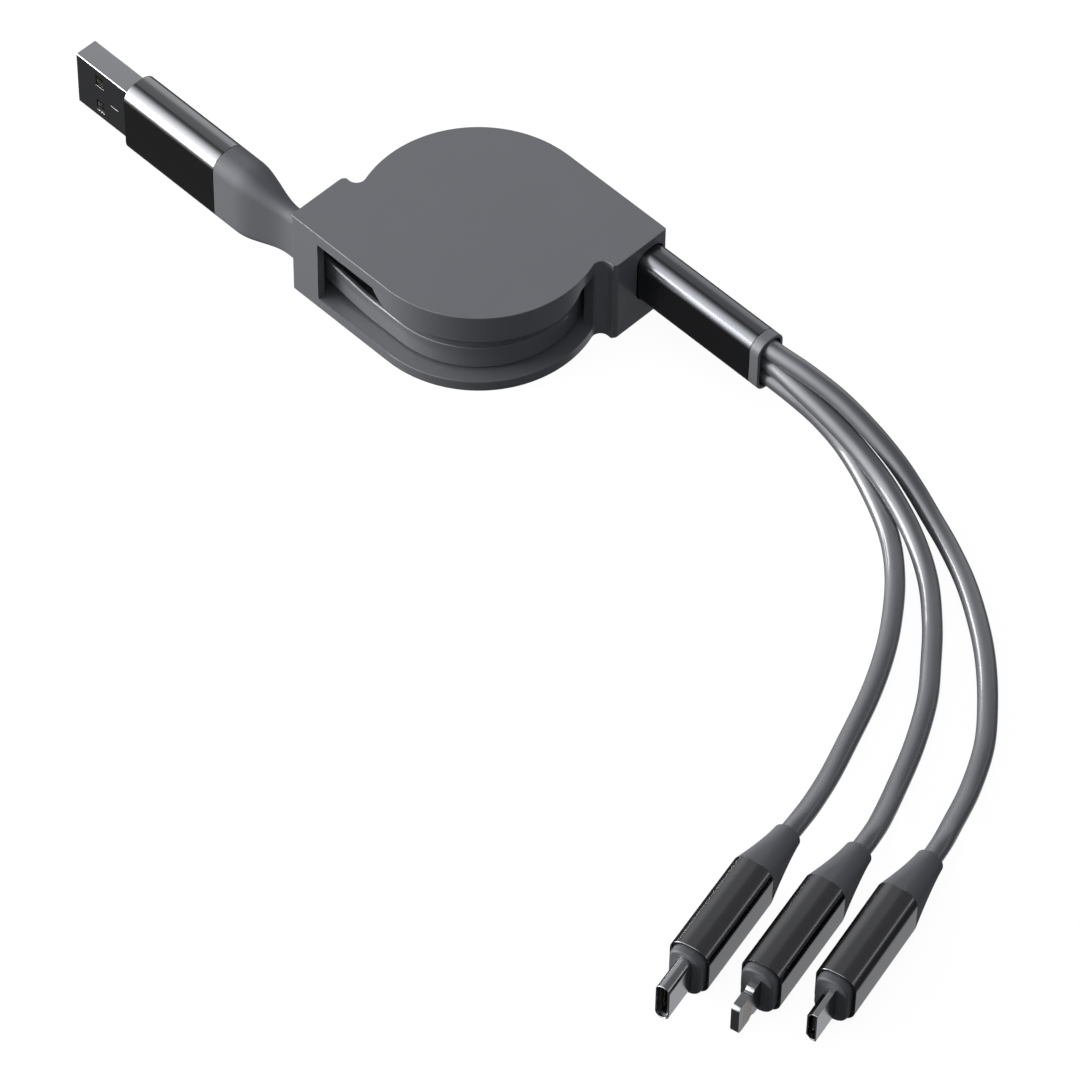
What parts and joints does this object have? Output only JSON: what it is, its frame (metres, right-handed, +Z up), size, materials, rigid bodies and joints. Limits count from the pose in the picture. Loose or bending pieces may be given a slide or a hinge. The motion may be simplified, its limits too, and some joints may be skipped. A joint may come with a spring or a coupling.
{
  "type": "retractable multi-connector charging cable",
  "caption": "Flat two-way cable reel in a window-sided case, with a standard A plug on one side and a splitter to slim corded device plugs on the other.",
  "frame": {"origin": "middle of the reel case, on its underside, which lies on the table", "axes": "+X from the case's middle towards the splitter, along the cable's run; +Z up, along the reel's axis; +Y to the side the splitter leaves the case on"},
  "size_m": [0.2264, 0.1071, 0.0187],
  "materials": {
    "case_plastic": "satin dark grey moulded plastic",
    "inner_plastic": "dark moulded plastic",
    "flat_cable_jacket": "satin grey soft jacket",
    "cord_jacket": "satin grey soft jacket",
    "boot_plastic": "satin grey soft moulding",
    "moulded_plastic": "satin grey moulding",
    "core_plastic": "dark moulding",
    "sleeve_metal": "dark anodised, glossy",
    "collar_metal": "light grey satin",
    "plug_steel": "polished plated steel",
    "spring_steel": "plain spring steel",
    "screw_steel": "dark zinc plate",
    "contact_gold": "gold plate",
    "tongue_plastic": "black moulding"
  },
  "bodies": {
    "case": {"case_bottom": "case_plastic", "case_top": "case_plastic", "case_screws": "screw_steel"},
    "spool": {"spool": "inner_plastic", "cable_winding": "flat_cable_jacket", "spiral_spring": "spring_steel", "ratchet_cover": "inner_plastic"},
    "pawl": {"ratchet_pawl": "spring_steel"},
    "usb_a": {"usb_a_flat_cable": "flat_cable_jacket", "usb_a_shell": "plug_steel", "usb_a_tongue": "tongue_plastic", "usb_a_contacts": "contact_gold", "usb_a_core": "moulded_plastic", "usb_a_sleeve": "sleeve_metal", "usb_a_boot": "boot_plastic"},
    "splitter": {"splitter_flat_cable": "flat_cable_jacket", "splitter_sleeve": "sleeve_metal", "splitter_core": "core_plastic", "splitter_collar": "collar_metal", "usb_c_cord": "cord_jacket", "eight_pin_cord": "cord_jacket", "micro_usb_cord": "cord_jacket", "usb_c_boot": "boot_plastic", "usb_c_sleeve": "sleeve_metal", "usb_c_nose": "moulded_plastic", "usb_c_shell": "plug_steel", "usb_c_liner": "tongue_plastic", "usb_c_contacts": "contact_gold", "eight_pin_boot": "boot_plastic", "eight_pin_sleeve": "sleeve_metal", "eight_pin_nose": "moulded_plastic", "eight_pin_tip": "plug_steel", "eight_pin_contacts": "contact_gold", "micro_usb_boot": "boot_plastic", "micro_usb_sleeve": "sleeve_metal", "micro_usb_nose": "moulded_plastic", "micro_usb_shell": "plug_steel", "micro_usb_tongue": "tongue_plastic", "micro_usb_contacts": "contact_gold"}
  },
  "joints": [
    {"name": "spool_turn", "type": "hinge", "parent": "case", "child": "spool", "pos_m": [0, 0, 0], "axis": [0, 0, 1], "range_deg": [-2001, 0], "stiffness_Nm_per_rad": 0.0004, "springref_deg": 572.96, "deforming": ["spiral_spring"]},
    {"name": "usb_a_pull", "type": "slide", "parent": "case", "child": "usb_a", "axis": [-1, 0, 0], "range_m": [0, 0.4], "deforming": ["usb_a_flat_cable"]},
    {"name": "splitter_pull", "type": "slide", "parent": "case", "child": "splitter", "axis": [1, 0, 0], "range_m": [0, 0.4], "deforming": ["splitter_flat_cable"]},
    {"name": "pawl_swing", "type": "hinge", "parent": "case", "child": "pawl", "pos_m": [0, 0.0092, 0.0155], "axis": [0, 0, 1], "range_deg": [-9, 9]}
  ],
  "couplings": [
    {"joint": "usb_a_pull", "follows": "spool_turn", "m_per_rad": -0.01145},
    {"joint": "splitter_pull", "follows": "spool_turn", "m_per_rad": -0.01145}
  ]
}
